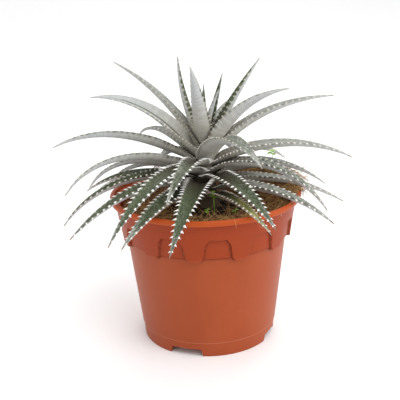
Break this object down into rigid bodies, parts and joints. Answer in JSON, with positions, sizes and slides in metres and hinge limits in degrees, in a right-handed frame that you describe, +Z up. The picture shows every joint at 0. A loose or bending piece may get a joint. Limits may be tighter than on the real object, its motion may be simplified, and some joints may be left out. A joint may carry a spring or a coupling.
{
  "type": "potted plant",
  "caption": "Dyckia rosette of long toothed, channelled leaves on a short stem, in soil in a round nursery pot.",
  "frame": {"origin": "centre of the plant's and pot's outline on the surface that the pot stands on, below the middle of the pot", "axes": "+Z up out of the pot, -Y towards the viewer of the reference picture"},
  "size_m": [0.2341, 0.2152, 0.224],
  "materials": {
    "orange_plastic": "satin",
    "coir_soil": "matte",
    "stem_bark": "matte",
    "leaf_green": "matte",
    "leaf_yellow": "matte",
    "offset_green": "matte",
    "seedling_green": "satin",
    "dry_stalk_straw": "matte"
  },
  "bodies": {
    "root": {"pot": "orange_plastic", "soil": "coir_soil", "stem": "stem_bark", "offset_1": "offset_green", "seedling_1": "seedling_green", "seedling_2": "seedling_green", "seedling_3": "seedling_green", "dry_stalk": "dry_stalk_straw", "leaf_crown_1": "leaf_green", "leaf_crown_2": "leaf_green", "leaf_crown_3": "leaf_green", "leaf_crown_4": "leaf_green", "leaf_crown_5": "leaf_green", "leaf_crown_6": "leaf_green", "leaf_upper_1": "leaf_green", "leaf_upper_2": "leaf_green", "leaf_upper_3": "leaf_green", "leaf_upper_4": "leaf_green", "leaf_upper_5": "leaf_green", "leaf_upper_6": "leaf_green", "leaf_middle_1": "leaf_green", "leaf_middle_2": "leaf_green", "leaf_middle_3": "leaf_green", "leaf_middle_4": "leaf_green", "leaf_middle_5": "leaf_green", "leaf_middle_6": "leaf_green", "leaf_middle_7": "leaf_green", "leaf_middle_8": "leaf_green", "leaf_middle_9": "leaf_green", "leaf_lower_1": "leaf_green", "leaf_lower_2": "leaf_green", "leaf_lower_3": "leaf_green", "leaf_lower_4": "leaf_green", "leaf_lower_5": "leaf_green", "leaf_lower_6": "leaf_green", "leaf_lower_7": "leaf_green", "leaf_lower_8": "leaf_green", "leaf_lower_9": "leaf_yellow", "leaf_back_1": "leaf_green", "leaf_back_2": "leaf_green", "leaf_back_3": "leaf_green", "leaf_back_4": "leaf_green", "leaf_back_5": "leaf_green", "leaf_back_6": "leaf_green", "leaf_back_7": "leaf_green", "leaf_back_8": "leaf_green", "leaf_back_9": "leaf_green", "leaf_back_10": "leaf_green"}
  },
  "joints": []
}
